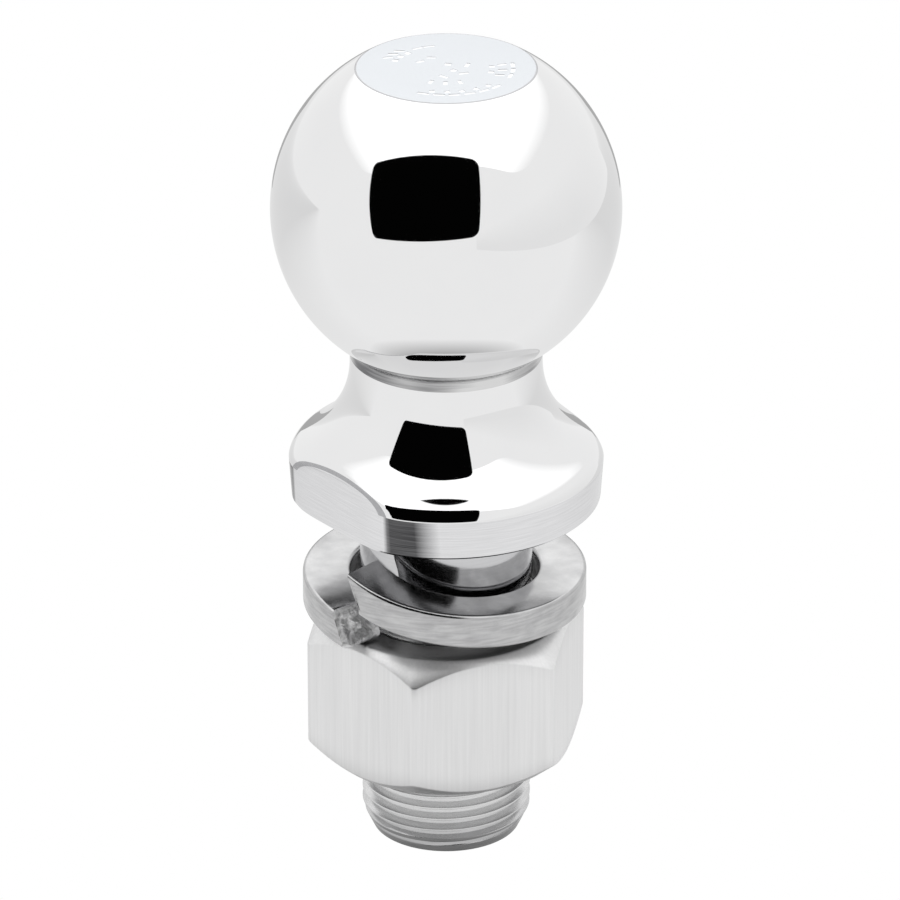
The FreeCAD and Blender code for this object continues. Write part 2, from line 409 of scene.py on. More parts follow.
def nut_zinc(bench, shader, millimetres):
    grain_lines = grain(bench, stretched(bench, millimetres, 2.2, 2.2, 0.05), 1.0, 4.0)
    bands = grain(bench, stretched(bench, millimetres, 0.3, 0.3, 0.02), 1.0, 2.0)
    blend = (grain_lines * 0.6 + bands * 0.4).clamp()
    x, y, _ = bench.split(millimetres)
    from_axis = bench.math("SQRT", x * x + y * y)
    # painted shade on both end faces and in the bore
    face_shade = ((NUT_SHADE_R - from_axis) * 1.5).clamp()
    shine = (blend * 0.5 + 0.5) * (1 - face_shade * 0.85)
    bench.feed(shader.inputs["Base Color"], tint(bench, shine, (0.38, 0.38, 0.385), (0.86, 0.86, 0.86)))
    bench.feed(shader.inputs["Roughness"], bands * 0.1 + 0.34)
    relief(bench, shader, grain_lines, 0.3, 0.05 * MM)


MIRROR = metal("mirror_chrome", mirror_chrome)
TURNED = metal("turned_chrome", turned_chrome)
SATIN = metal("satin_face", satin_face)
PUNCHED = metal("punched_mark", punched_mark)
DULL = metal("dull_corner", dull_corner)
EDGE = metal("edge_chrome", edge_chrome)
SHANK = metal("shank_chrome", shank_chrome)
THREAD = metal("thread_steel", thread_steel)
WASHER = metal("washer_zinc", washer_zinc)
BURR = metal("torn_zinc", torn_zinc)
NUT = metal("nut_zinc", nut_zinc)
print(len(bpy.data.materials), "materials in the file")

# %% [markdown]
# ## The ball stud's outline
# The ball, neck, flare and rim are one turned shape, so the honest way to make them is a lathe: half an
# outline, turned about Z. The outline is arcs and short straight runs that meet smoothly, because mirror
# chrome shows every kink as a broken reflection. Each stretch remembers its metal.

# %% Outline helpers
def on_arc(centre, radius, angle):
    return (centre[0] + radius * math.cos(angle), centre[1] + radius * math.sin(angle))


def arc(centre, radius, start, end, count):
    """Points along an arc of the outline; angles run from +X towards +Z."""
    return [on_arc(centre, radius, start + (end - start) * i / count) for i in range(count + 1)]


def run(start, end, count):
    steps = [i / count for i in range(count + 1)]
    return [(start[0] + (end[0] - start[0]) * s, start[1] + (end[1] - start[1]) * s) for s in steps]


def rounded_between_balls(big_radius, big_z, small_r, wall_r):
    """Centre of a small round tangent to the ball from outside and to the neck's wall."""
    centre_r = wall_r + small_r
    drop = math.sqrt((big_radius + small_r) ** 2 - centre_r ** 2)
    return (centre_r, big_z - drop)


# %% The outline
def stud_outline():
    """(points, metal) stretches from the top flat's edge down to the end of the plain shank."""
    edge_centre_z = TOP_Z - TOP_EDGE_R
    edge_centre_r = math.sqrt((BALL_R - TOP_EDGE_R) ** 2 - (edge_centre_z - BALL_Z) ** 2)
    ball_start = math.atan2(edge_centre_z - BALL_Z, edge_centre_r)
    corner = rounded_between_balls(BALL_R, BALL_Z, NECK_CORNER_R, NECK_R)
    ball_end = math.atan2(corner[1] - BALL_Z, corner[0])

    shoulder = (RIM_TOP_R - SHOULDER_R * math.cos(SHOULDER_END),
                RIM_TOP_Z - SHOULDER_R * math.sin(SHOULDER_END))
    flare_foot = on_arc(shoulder, SHOULDER_R, FLARE_NORMAL)
    fillet_r = NECK_R + NECK_FILLET_R
    along_normal = flare_foot[0] * math.cos(FLARE_NORMAL) + flare_foot[1] * math.sin(FLARE_NORMAL)
    fillet_z = (along_normal + NECK_FILLET_R - fillet_r * math.cos(FLARE_NORMAL)) / math.sin(FLARE_NORMAL)
    fillet = (fillet_r, fillet_z)
    dull_end_z = max(corner[1] - NECK_DULL, (corner[1] + fillet_z) / 2)
    flare_top = on_arc(fillet, NECK_FILLET_R, math.pi + FLARE_NORMAL)

    rim_foot = (RIM_FOOT_R, RIM_EDGE)
    seat_edge = (RIM_FOOT_R - RIM_EDGE, 0.0)
    plain_foot = (SHANK_R, PLAIN_END_Z + (SHANK_R - THREAD_CREST_R))
    return [
        (arc((edge_centre_r, edge_centre_z), TOP_EDGE_R, math.pi / 2, ball_start, 5), EDGE),
        (arc((0, BALL_Z), BALL_R, ball_start, ball_end, 84), MIRROR),
        (arc(corner, NECK_CORNER_R, math.pi + ball_end, math.pi, 12), DULL),
        (run((NECK_R, corner[1]), (NECK_R, dull_end_z), 2), DULL),
        (run((NECK_R, dull_end_z), (NECK_R, fillet_z), 2), MIRROR),
        (arc(fillet, NECK_FILLET_R, math.pi, math.pi + FLARE_NORMAL, 36), MIRROR),
        (run(flare_top, flare_foot, 1), MIRROR),
        (arc(shoulder, SHOULDER_R, FLARE_NORMAL, SHOULDER_END, 14), MIRROR),
        (run((RIM_TOP_R, RIM_TOP_Z), rim_foot, 10), TURNED),
        (run(rim_foot, seat_edge, 1), TURNED),
        (run(seat_edge, (SHANK_R, 0.0), 4), TURNED),
        (run((SHANK_R, 0.0), plain_foot, 8), SHANK),
        (run(plain_foot, (THREAD_CREST_R, PLAIN_END_Z), 1), SHANK),
    ]


# %% [markdown]
# ## Turning the outline
# Rings of points are made around the axis and joined into quads. The first ring is closed with one flat
# polygon, which is the faced top. The last ring is left open: the thread's top ring has the same points.

# %% The lathe
def turn_outline(stretches, name):
    points, faces, metals, slots = [], [], [], []
    rows = [(stretches[0][0][0], None)]
    for outline, made_of in stretches:
        rows += [(point, made_of) for point in outline[1:]]
        if made_of not in slots:
            slots.append(made_of)
    for (radius, z), _ in rows:
        points += [(radius * math.cos(a), radius * math.sin(a), z)
                   for a in (math.tau * i / COLUMNS for i in range(COLUMNS))]
    for row in range(1, len(rows)):
        upper, lower = (row - 1) * COLUMNS, row * COLUMNS
        for i in range(COLUMNS):
            j = (i + 1) % COLUMNS
            faces.append((upper + i, lower + i, lower + j, upper + j))
            metals.append(slots.index(rows[row][1]))
    slots.append(SATIN)
    faces.append(tuple(range(COLUMNS)))
    metals.append(len(slots) - 1)
    return plain_mesh(name, points, faces, metals, slots)


def plain_mesh(name, points, faces, metals, slots):
    mesh = bpy.data.meshes.new(name)
    mesh.from_pydata(points, [], faces)
    for made_of in slots:
        mesh.materials.append(made_of)
    mesh.polygons.foreach_set("material_index", metals)
    mesh.validate()
    return mesh

# %% [markdown]
# ## One skin from several
# The lathe's body and the grown thread share a ring of points. Welding them gives one closed skin, as on
# the real forging. Open ends are filled, and the normals are made to point outwards.

# %% Welding and finishing meshes
import bmesh

WELD = 0.004 * MM


def welded(name, meshes, cap_metal):
    """Several meshes as one closed skin; open ends are capped with cap_metal."""
    skin = bmesh.new()
    slots = []
    for mesh in meshes:
        known = len(skin.faces)
        skin.from_mesh(mesh)
        skin.faces.ensure_lookup_table()
        for face in skin.faces[known:]:
            made_of = mesh.materials[face.material_index]
            if made_of not in slots:
                slots.append(made_of)
            face.material_index = slots.index(made_of)
    bmesh.ops.remove_doubles(skin, verts=skin.verts, dist=WELD)
    open_edges = [edge for edge in skin.edges if edge.is_boundary]
    if cap_metal not in slots:
        slots.append(cap_metal)
    for face in bmesh.ops.holes_fill(skin, edges=open_edges, sides=0)["faces"]:
        face.material_index = slots.index(cap_metal)
    return closed_mesh(skin, name, slots)


def closed_mesh(skin, name, slots):
    bmesh.ops.recalc_face_normals(skin, faces=skin.faces)
    loose = sum(1 for edge in skin.edges if not edge.is_manifold)
    mesh = bpy.data.meshes.new(name)
    skin.to_mesh(mesh)
    skin.free()
    for made_of in slots:
        mesh.materials.append(made_of)
    print(name, len(mesh.polygons), "faces,", loose, "edges not closed")
    return mesh


def piece(name, mesh, sharp_degrees):
    """A finished piece: smooth where faces nearly agree, sharp where they don't."""
    mesh.polygons.foreach_set("use_smooth", [True] * len(mesh.polygons))
    mesh.set_sharp_from_angle(angle=math.radians(sharp_degrees))
    made = bpy.data.objects.new(name, mesh)
    bpy.context.scene.collection.objects.link(made)
    return made


# %% [markdown]
# ## Wrench flats
# Two flats on the flange let a wrench hold the ball still. Their edge isn't sharp: they blend into the rim
# and the flare. Every point of the flange beyond a flat is drawn back to it, and the softened minimum of
# the two distances gives the blend. The flats take the duller finish, with a thin dark band where the
# mirror rolls over the edge.

# %% Pressing the flats
BLEND = 0.6 * MM
BLEND_LINES = (-3, -2, -1, -0.4, 0, 0.8, 1.6, 2.6)    # where the mesh is cut, in blends from the flat
EDGE_FROM, EDGE_TO = -0.4, 0.8     # the darker band, in blends from the flat
BLEND_START = -8                   # closer to the axis than this, the blend moves nothing
FLANGE_TOP_Z = 22 * MM


def pressed(reach):
    """How far out a point may stand, given how far out it stood; both measured towards a flat."""
    return reach - BLEND * math.log1p(math.exp((reach - WRENCH_FLAT_Y) / BLEND))


def with_wrench_flats(mesh):
    """The mesh with its flange drawn back to the two flats, and the flats' finish set."""
    skin = bmesh.new()
    skin.from_mesh(mesh)
    slots = list(mesh.materials)
    for line in BLEND_LINES:
        for side in (1, -1):
            place = (0, side * (WRENCH_FLAT_Y + line * BLEND), 0)
            flange = [vert for vert in skin.verts if 0 <= vert.co.z < FLANGE_TOP_Z]
            near = {edge for vert in flange for edge in vert.link_edges}
            faces = {face for vert in flange for face in vert.link_faces}
            bmesh.ops.bisect_plane(skin, geom=[*flange, *near, *faces], plane_co=place, plane_no=(0, 1, 0))
    for face in skin.faces:
        centre = face.calc_center_median()
        if 0 < centre.z < FLANGE_TOP_Z and abs(centre.y) > WRENCH_FLAT_Y + EDGE_FROM * BLEND:
            on_flat = abs(centre.y) > WRENCH_FLAT_Y + EDGE_TO * BLEND or centre.z < RIM_TOP_Z
            face.material_index = slots.index(TURNED if on_flat else EDGE)
    for vert in skin.verts:
        if 0 <= vert.co.z < FLANGE_TOP_Z and abs(vert.co.y) > WRENCH_FLAT_Y + BLEND_START * BLEND:
            vert.co.y = math.copysign(pressed(abs(vert.co.y)), vert.co.y)
    skin.normal_update()
    return closed_mesh(skin, mesh.name, slots)


# %% [markdown]
# ## Punched marks
# The real top flat carries stamped markings. Here they are plain pips and bars that say nothing. Rows of
# small blocks are placed by Geometry Nodes, one tree run once for each row, and then all of them are cut
# out of the flat together, so the marks are real hollows that catch the light.

# %% The punch tree
def punch_tree():
    tree = bpy.data.node_groups.new("punch_row", "GeometryNodeTree")
    for name, kind in (("Count", "Int"), ("Radius", "Float"), ("Start", "Float"), ("Step", "Float"),
                       ("Length", "Float"), ("Width", "Float"), ("Twist", "Float"), ("Metal", "Material")):
        tree.interface.new_socket(name, in_out="INPUT", socket_type="NodeSocket" + kind)
    tree.interface.new_socket("Punches", in_out="OUTPUT", socket_type="NodeSocketGeometry")
    bench = Bench(tree)
    group_in = tree.nodes.new("NodeGroupInput")
    size = {socket.name: Signal(bench, socket) for socket in group_in.outputs if socket.name}
    number = bench.node("GeometryNodeInputIndex")
    angle = number * size["Step"] + size["Start"]
    x = bench.math("COSINE", angle) * size["Radius"]
    y = bench.math("SINE", angle) * size["Radius"]
    place = bench.node("ShaderNodeCombineXYZ", None, {"X": x, "Y": y, "Z": TOP_Z})
    points = bench.node("GeometryNodePoints", None, {"Count": size["Count"], "Position": place})
    block_size = bench.node("ShaderNodeCombineXYZ", None,
                            {"X": size["Length"], "Y": size["Width"], "Z": 2 * PUNCH_DEPTH})
    block = bench.node("GeometryNodeMeshCube", None, {"Size": block_size})
    turn = bench.node("ShaderNodeCombineXYZ", None, {"Z": angle + size["Twist"]})
    row = bench.node("GeometryNodeInstanceOnPoints", None,
                     {"Points": points, "Instance": block, "Rotation": turn})
    real = bench.node("GeometryNodeRealizeInstances", None, {"Geometry": row})
    done = bench.node("GeometryNodeSetMaterial", None, {"Geometry": real, "Material": size["Metal"]})
    group_out = tree.nodes.new("NodeGroupOutput")
    tree.links.new(done.socket, group_out.inputs[0])
    return tree


PUNCH_DEPTH = 0.06 * MM
PUNCH_ROWS = (
    # count, radius mm, start degrees, step degrees, length mm, width mm, twist degrees
    (6, 9.9, -58, 13, 1.7, 0.6, 90),
    (5, 8.8, -52, 14, 0.8, 0.8, 20),
    (3, 9.2, 188, 9, 1.5, 0.6, 35),
    (3, 7.8, 186, 12, 0.9, 0.9, 0),
    (2, 8.4, 158, 12, 1.7, 0.5, 90),
    (3, 9.6, 34, 12, 1.5, 0.6, 90),
    (3, 8.1, 32, 14, 1.4, 0.6, 10),
    (2, 6.6, 38, 18, 0.8, 0.8, 0),
    (3, 3.2, -45, 58, 1.5, 0.6, 55),
    (2, 1.4, 10, 120, 0.9, 0.9, 0),
    (3, 5.6, -62, 22, 1.3, 0.6, 0),
    (2, 4.4, 170, 28, 1.3, 0.6, 60),
)


def punches():
    tree = punch_tree()
    rows = []
    for count, radius, start, step, length, width, twist in PUNCH_ROWS:
        sizes = {"Count": count, "Radius": radius * MM, "Start": math.radians(start),
                 "Step": math.radians(step), "Length": length * MM, "Width": width * MM,
                 "Twist": math.radians(twist), "Metal": PUNCHED}
        rows.append(grow(tree, sizes, "punch_row"))
    return welded("punches", rows, PUNCHED)


def carved(mesh, cutter):
    """The mesh with the cutter taken out; the new walls take the cutter's metal."""
    body, tool = (bpy.data.objects.new(part.name, part) for part in (mesh, cutter))
    bpy.context.scene.collection.objects.link(body)
    bpy.context.scene.collection.objects.link(tool)
    cut = body.modifiers.new("cut", "BOOLEAN")
    cut.operation = "DIFFERENCE"
    cut.solver = "EXACT"
    cut.object = tool
    cut.material_mode = "TRANSFER"
    result = bpy.data.meshes.new_from_object(body.evaluated_get(bpy.context.evaluated_depsgraph_get()))
    bpy.data.objects.remove(body)
    bpy.data.objects.remove(tool)
    print("carved", mesh.name, "to", len(result.polygons), "faces")
    return result


# %% [markdown]
# ## The ball stud
# Outline, thread, flats and marks come together here as one piece, because the real one is one forging.

# %% Building the stud
def stud_thread():
    start_z = SHANK_END_Z - 1.5 * PITCH
    return grow(THREAD_TREE, {
        "Turns": math.ceil((PLAIN_END_Z - start_z) / PITCH) + 1.0,
        "Start Angle": 0.0, "Start Z": start_z,
        "Low Z": SHANK_END_Z, "High Z": PLAIN_END_Z,
        "Crest Radius": THREAD_CREST_R, "Root Radius": THREAD_ROOT_R,
        "Low End Radius": LEAD_END_R, "Low Slope": (THREAD_CREST_R - LEAD_END_R) / LEAD_LENGTH,
        "High End Radius": THREAD_CREST_R, "High Slope": 0.0,
        "Runout": 1.2 * MM, "Side": 1.0, "Metal": THREAD}, "stud_thread")


def make_stud():
    body = turn_outline(stud_outline(), "stud_body")
    skin = welded("ball_stud_finished", [body, stud_thread()], THREAD)
    skin = with_wrench_flats(skin)
    skin = carved(skin, punches())
    return piece("ball_stud_finished", skin, 28)


stud = make_stud()

# %% [markdown]
# ## The lock washer
# A bar with softened corners is wound once into a left-hand helix and cut through, and each cut end springs
# away from the ring. The bar's section is placed at many stations along that path. At the two cuts the
# section leans, because a shear cuts at a slant, and the face it leaves is torn: the lower end in
# particular has a lumpy lip. The faces of the cuts are therefore filled with rings that are pushed about
# by a fixed noise instead of one flat polygon.

# %% Washer sizes
WASHER_INNER_R = 13.9 * MM
WASHER_OUTER_R = 20.9 * MM
WASHER_THICKNESS = 5.3 * MM
WASHER_CORNER_R = 0.6 * MM
WASHER_SPLIT = math.radians(-82)
WASHER_WRAP = math.radians(351)
WASHER_TOP_Z = washer_high[2]
WASHER_LIFT = 6.1 * MM             # how far the upper end springs above the middle of the coil
WASHER_MIDDLE_Z = WASHER_TOP_Z - WASHER_LIFT
WASHER_LOWER_END_DROP = 1.0 * MM
WASHER_UPPER_REACH = 0.13
WASHER_LOWER_REACH = 0.05
WASHER_CUT_LEAN = 0.5
WASHER_OFF_CENTRE = 0.35 * MM
WASHER_STATIONS = 220
LEANING_STATIONS = 4               # how many stations it takes the section to lean over at a cut
LOWER_TEAR, UPPER_TEAR = 1.5 * MM, 0.35 * MM
TEAR_RINGS = (0.92, 0.8, 0.64, 0.46, 0.28, 0.12)      # each ring's size as a share of the section


def washer_top(part_way):
    """Height of the washer's top face from the upper cut (0) to the lower cut (1)."""
    lift = WASHER_LIFT * math.exp(-part_way / WASHER_UPPER_REACH)
    drop = WASHER_LOWER_END_DROP * math.exp((part_way - 1) / WASHER_LOWER_REACH)
    return WASHER_MIDDLE_Z + lift - drop


def bar_section():
    """The bar's section as (radius, depth below the top) points with rounded corners."""
    inner, outer = WASHER_INNER_R + WASHER_CORNER_R, WASHER_OUTER_R - WASHER_CORNER_R
    upper, lower = -WASHER_CORNER_R, WASHER_CORNER_R - WASHER_THICKNESS
    corners = ((outer, upper, math.pi / 2, 0), (outer, lower, 0, -math.pi / 2),
               (inner, lower, -math.pi / 2, -math.pi), (inner, upper, -math.pi, -1.5 * math.pi))
    points = []
    for radius, depth, start, end in corners:
        points += arc((radius, depth), WASHER_CORNER_R, start, end, 4)
    return points


# %% Winding the bar
def bar_point(part_way, radius, depth, lean, push=0.0):
    """A point of the bar; push moves it along the bar, as the torn ends need."""
    angle = WASHER_SPLIT + WASHER_WRAP * part_way
    out = Vector((math.cos(angle), math.sin(angle), 0))
    along = Vector((-math.sin(angle), math.cos(angle), 0))
    off = Vector((math.cos(WASHER_SPLIT), math.sin(WASHER_SPLIT), 0)) * WASHER_OFF_CENTRE
    return off + out * radius + along * (push - lean * depth) + Vector((0, 0, washer_top(part_way) + depth))


def torn_end(skin, rim, part_way, outward, roughness):
    """Closes a cut end with shrinking rings, each pushed along the bar by noise."""
    section = bar_section()
    mid_r = (WASHER_INNER_R + WASHER_OUTER_R) / 2
    mid_depth = -WASHER_THICKNESS / 2
    for share in TEAR_RINGS:
        ring = []
        for radius, depth in section:
            r = mid_r + (radius - mid_r) * share
            d = mid_depth + (depth - mid_depth) * share
            lump = noise.noise(Vector((r, d, part_way)) * 0.55 / MM) + 0.25
            push = outward * roughness * max(lump, -0.4)
            ring.append(skin.verts.new(bar_point(part_way, r, d, WASHER_CUT_LEAN, push)))
        join_rings(skin, rim, ring, outward, 1)
        rim = ring
    skin.faces.new(rim if outward > 0 else rim[::-1]).material_index = 1


def join_rings(skin, first, second, direction, slot=0):
    for i in range(len(first)):
        j = (i + 1) % len(first)
        corners = (first[i], first[j], second[j], second[i])
        face = skin.faces.new(corners if direction > 0 else corners[::-1])
        face.material_index = slot


def make_washer():
    skin = bmesh.new()
    section = bar_section()
    rings = []
    for station in range(WASHER_STATIONS + 1):
        part_way = station / WASHER_STATIONS
        near_cut = min(part_way, 1 - part_way) * WASHER_STATIONS
        lean = WASHER_CUT_LEAN * max(0.0, 1 - near_cut / LEANING_STATIONS)
        rings.append([skin.verts.new(bar_point(part_way, r, d, lean)) for r, d in section])
    for first, second in zip(rings, rings[1:]):
        join_rings(skin, first, second, 1)
    torn_end(skin, rings[-1], 1.0, 1, LOWER_TEAR)
    torn_end(skin, rings[0], 0.0, -1, UPPER_TEAR)
    return piece("lock_washer_finished", closed_mesh(skin, "lock_washer_finished", [WASHER, BURR]), 40)


washer = make_washer()

# %% [markdown]
# ## The hex nut
# The nut's outline isn't round, but its chamfers are: a cone meets six flats. Each column of points takes
# its own radius from the rounded hexagon, and the cone then gives the height where that column leaves the
# chamfer. The curved edge between cone and flat appears without any cutting. The bore is the thread tree
# again, turned inside out, with a countersink at each end.

# %% Nut sizes
NUT_FLAT_R = 37.3 * MM / 2
NUT_CORNER = math.radians(8.2)
NUT_CORNER_ROUND = 1.3 * MM
NUT_FACE_R = 17.6 * MM
NUT_CHAMFER = math.tan(math.radians(40))
NUT_MOUTH_R = 13.3 * MM
NUT_TOOTH_R = 11.75 * MM
NUT_ROOT_R = 12.8 * MM
NUT_EDGE = 0.14 * MM
NUT_INNER_RING_R = 15.8 * MM       # a ring that splits each end face, so that its quads stay even
NUT_TOP_Z = nut_high[2]
NUT_LOW_Z = nut_low[2]
SIDE_COLUMNS = COLUMNS // 6
ROUND_COLUMNS = 5
SIXTH = math.radians(60)


def hexagon_columns():
    """(angle, radius) for every column around the rounded hexagon, starting at a corner."""
    corner_centre = (NUT_FLAT_R - NUT_CORNER_ROUND) / math.cos(SIXTH / 2)
    flat_reach = math.atan(corner_centre / 2 / NUT_FLAT_R)
    round_reach = SIXTH / 2 - flat_reach
    half = []
    for i in range(ROUND_COLUMNS):
        away = round_reach * i / ROUND_COLUMNS
        reach = math.sqrt(NUT_CORNER_ROUND ** 2 - (corner_centre * math.sin(away)) ** 2)
        half.append((away, corner_centre * math.cos(away) + reach))
    flat_columns = SIDE_COLUMNS - 2 * ROUND_COLUMNS
    for i in range(flat_columns + 1):
        lean = flat_reach * (2 * i / flat_columns - 1)
        half.append((SIXTH / 2 + lean, NUT_FLAT_R / math.cos(lean)))
    far_side = [(SIXTH - away, reach) for away, reach in half[1:ROUND_COLUMNS][::-1]]
    side = half + far_side
    return [(NUT_CORNER + SIXTH * k + away, reach) for k in range(6) for away, reach in side]


def nut_column(reach):
    """Points of one column from the top mouth over the outside to the bottom mouth."""
    cone_r = reach - NUT_EDGE
    cone_drop = (cone_r - NUT_FACE_R) * NUT_CHAMFER
    flat_drop = (reach - NUT_FACE_R) * NUT_CHAMFER + NUT_EDGE
    top = [(NUT_INNER_RING_R, 0.0), (NUT_FACE_R - NUT_EDGE, 0.0),
           (NUT_FACE_R + NUT_EDGE, NUT_EDGE * NUT_CHAMFER), (cone_r, cone_drop), (reach, flat_drop)]
    height = NUT_TOP_Z - NUT_LOW_Z
    middle = [(reach, flat_drop + (height - 2 * flat_drop) * i / 6) for i in range(1, 6)]
    bottom = [(radius, height - drop) for radius, drop in top[::-1]]
    return [(radius, NUT_TOP_Z - drop) for radius, drop in top + middle + bottom]


# %% Building the nut
def nut_shell():
    mouths = [NUT_CORNER + math.tau * i / COLUMNS for i in range(COLUMNS)]
    columns = []
    for mouth, (angle, reach) in zip(mouths, hexagon_columns()):
        rim = [(NUT_MOUTH_R * math.cos(mouth), NUT_MOUTH_R * math.sin(mouth), z)
               for z in (NUT_TOP_Z, NUT_LOW_Z)]
        outside = [(radius * math.cos(angle), radius * math.sin(angle), z) for radius, z in nut_column(reach)]
        columns.append([rim[0]] + outside + [rim[1]])
    rows = len(columns[0])
    points = [point for column in columns for point in column]
    faces = []
    for i in range(COLUMNS):
        here, there = i * rows, (i + 1) % COLUMNS * rows
        faces += [(here + k, here + k + 1, there + k + 1, there + k) for k in range(rows - 1)]
    return plain_mesh("nut_shell", points, faces, [0] * len(faces), [NUT])


def nut_thread():
    groove_z = SHANK_END_Z - PITCH + PITCH * NUT_CORNER / math.tau
    start_z = groove_z + (math.floor((NUT_LOW_Z - groove_z) / PITCH) - 1) * PITCH
    return grow(THREAD_TREE, {
        "Turns": math.ceil((NUT_TOP_Z - start_z) / PITCH) + 1.0,
        "Start Angle": NUT_CORNER, "Start Z": start_z,
        "Low Z": NUT_LOW_Z, "High Z": NUT_TOP_Z,
        "Crest Radius": NUT_TOOTH_R, "Root Radius": NUT_ROOT_R,
        "Low End Radius": NUT_MOUTH_R, "Low Slope": -1.0,
        "High End Radius": NUT_MOUTH_R, "High Slope": -1.0,
        "Runout": 0.01 * MM, "Side": -1.0, "Metal": THREAD}, "nut_thread")


nut = piece("hex_nut_finished", welded("hex_nut_finished", [nut_shell(), nut_thread()], NUT), 35)

# %% [markdown]
# ## Riding on the frame
# Each finished piece rides on the body of the engineering part that it stands for, so turning the nut in
# the simulation turns the finished nut.

# %% Rides and stand-ins
for made, body, node, finish in (
        (stud, "stud", "ball_stud", "chromed_steel"),
        (washer, "washer", "lock_washer", "zinc_washer"),
        (nut, "nut", "hex_nut", "zinc_nut")):
    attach(made, body)
    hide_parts(node)
    print(made.name, "rides on", body, "for", node)

# %% [markdown]
# ## A white room for a mirror
# A mirror has no look of its own: what matters is the room. The ball stands in a plain white tent on a pale
# floor, with a broad soft light overhead. One black card stands in front, on the camera's side, because a
# dark shape is what tells the eye that the white ball is chrome. The floor and the cards glow softly and
# cast nothing hard, so the light is soft from every side. The cards are hidden from the camera itself and
# only seen in reflections.

# %% Directions in the room
AZIMUTH = math.radians(51)
ELEVATION = math.radians(25.55)
RIGHT = Vector((math.cos(AZIMUTH), math.sin(AZIMUTH), 0))
FRONT = Vector((math.sin(AZIMUTH), -math.cos(AZIMUTH), 0))
UP = Vector((0, 0, 1))
TO_CAMERA = FRONT * math.cos(ELEVATION) + UP * math.sin(ELEVATION)
CARD_UP = UP * math.cos(ELEVATION) - FRONT * math.sin(ELEVATION)
BALL_CENTRE = UP * BALL_Z
print("towards the camera:", [round(share, 3) for share in TO_CAMERA])


def glow(name, grey):
    """A finish that gives off its own light: grey is a number, or a function that makes its nodes."""
    made = bpy.data.materials.new(name)
    made.use_nodes = True
    shader = made.node_tree.nodes["Principled BSDF"]
    shader.inputs["Base Color"].default_value = (0, 0, 0, 1)
    shader.inputs["Roughness"].default_value = 1.0
    shader.inputs["Specular IOR Level"].default_value = 0.0
    shader.inputs["Emission Strength"].default_value = 1.0
    light = shader.inputs["Emission Color"]
    if callable(grey):
        bench = Bench(made.node_tree)
        shade = grey(bench, bench.node("ShaderNodeTexCoord", output=3))
        bench.feed(light, bench.node("ShaderNodeCombineXYZ", None, {0: shade, 1: shade, 2: shade}))
    else:
        light.default_value = (grey, grey, grey, 1)
    return made


def along(bench, place, axis):
    """How far a point lies along an axis of the room, in metres."""
    inputs = {0: place, 1: tuple(axis)}
    return bench.node("ShaderNodeVectorMath", {"operation": "DOT_PRODUCT"}, inputs, output=1)


def card(name, place, sides, corner, made_of, camera_sees=False):
    """A flat card with rounded corners; place turns (across, up) into a point in the room."""
    left, right, low, high = sides
    turns = ((right - corner, high - corner), (left + corner, high - corner),
             (left + corner, low + corner), (right - corner, low + corner))
    outline = []
    for quarter, centre in enumerate(turns):
        outline += arc(centre, corner, quarter * math.pi / 2, (quarter + 1) * math.pi / 2, 8)
    points = [place(across, up) for across, up in outline]
    mesh = plain_mesh(name, points, [tuple(range(len(points)))], [0], [made_of])
    made = bpy.data.objects.new(name, mesh)
    bpy.context.scene.collection.objects.link(made)
    made.visible_camera = camera_sees
    made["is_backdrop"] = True
    return made


def upright(distance_vector):
    """Places a card that stands upright at that offset from the ball, facing it."""
    across = UP.cross(distance_vector).normalized()
    return lambda x, y: BALL_CENTRE + distance_vector + across * x + UP * y


def level(z):
    return lambda x, y: UP * z + RIGHT * x + FRONT * y


CARD_RISE, CARD_STRETCH, CARD_TAPER = 0.09, 1.02, 0.18


def leaning(low, high, low_distance, high_distance):
    """Places a card by how it looks from the ball: its foot is far off and its top leans closer.

    Its left side also stands a little closer than its right, so it looks taller there.
    """
    def place(x, y):
        share = (y - low) / (high - low)
        nearness = (1 - share) / low_distance + share / high_distance
        height = CARD_RISE + y * (CARD_STRETCH - CARD_TAPER * x)
        return BALL_CENTRE + (TO_CAMERA + RIGHT * x + CARD_UP * height) / nearness
    return place


# %% [markdown]
# The overhead light reaches further behind the ball than in front of it, so its front edge draws the curved
# lower border of the bright cap on the ball. The right wall is a little darker than the left. A low dark
# gap behind gives the ball's outline its thin grey line. The floor lies below the nut's lowest place.

# %% Floor, cards and light
FLOOR_REACH = 6.0
FLOOR_CLEARANCE = 1 * MM
FLOOR_GAP = 0.2 * MM               # between the floor that is seen and the one that is reflected
slide = next(joint for joint in frame["record"]["behaviour"]["joints"] if joint["name"] == "washer_slide")
FLOOR_Z = NUT_LOW_Z + slide["range_m"][0] - FLOOR_CLEARANCE     # below the nut when it is run right down
TOP_LIGHT_HEIGHT = 0.6
TOP_LIGHT_SIDES = (-1.56 * TOP_LIGHT_HEIGHT, 1.42 * TOP_LIGHT_HEIGHT,
                   -3.0 * TOP_LIGHT_HEIGHT, 0.79 * TOP_LIGHT_HEIGHT)
TOP_LIGHT_FADE = 0.6 * TOP_LIGHT_HEIGHT
TOP_LIGHT_GAIN = 0.5               # how much brighter than the tent its middle is
TOP_LIGHT_CORNER = 0.4 * TOP_LIGHT_HEIGHT
CARD_LOW, CARD_HIGH = -0.5, 0.5
CARD_SIDES = (-1.2, 0.4)
CARD_FOOT_DISTANCE, CARD_TOP_DISTANCE = 0.9, 0.3
CARD_CORNER = 0.1
BEHIND_FROM, BEHIND_REACH, BEHIND_SHADE = 0.02, 0.2, 0.18       # the floor's grey part, in metres and share
FAR_FROM, FAR_REACH = 0.3, 2.0                                  # where that grey fades away again
FOOT_REACH, FOOT_SHADE = 0.06, 0.95                             # the painted shadow under the shank
WALL_DISTANCE, WALL_SHADE, WALL_FADE = 0.45, 0.08, 0.5
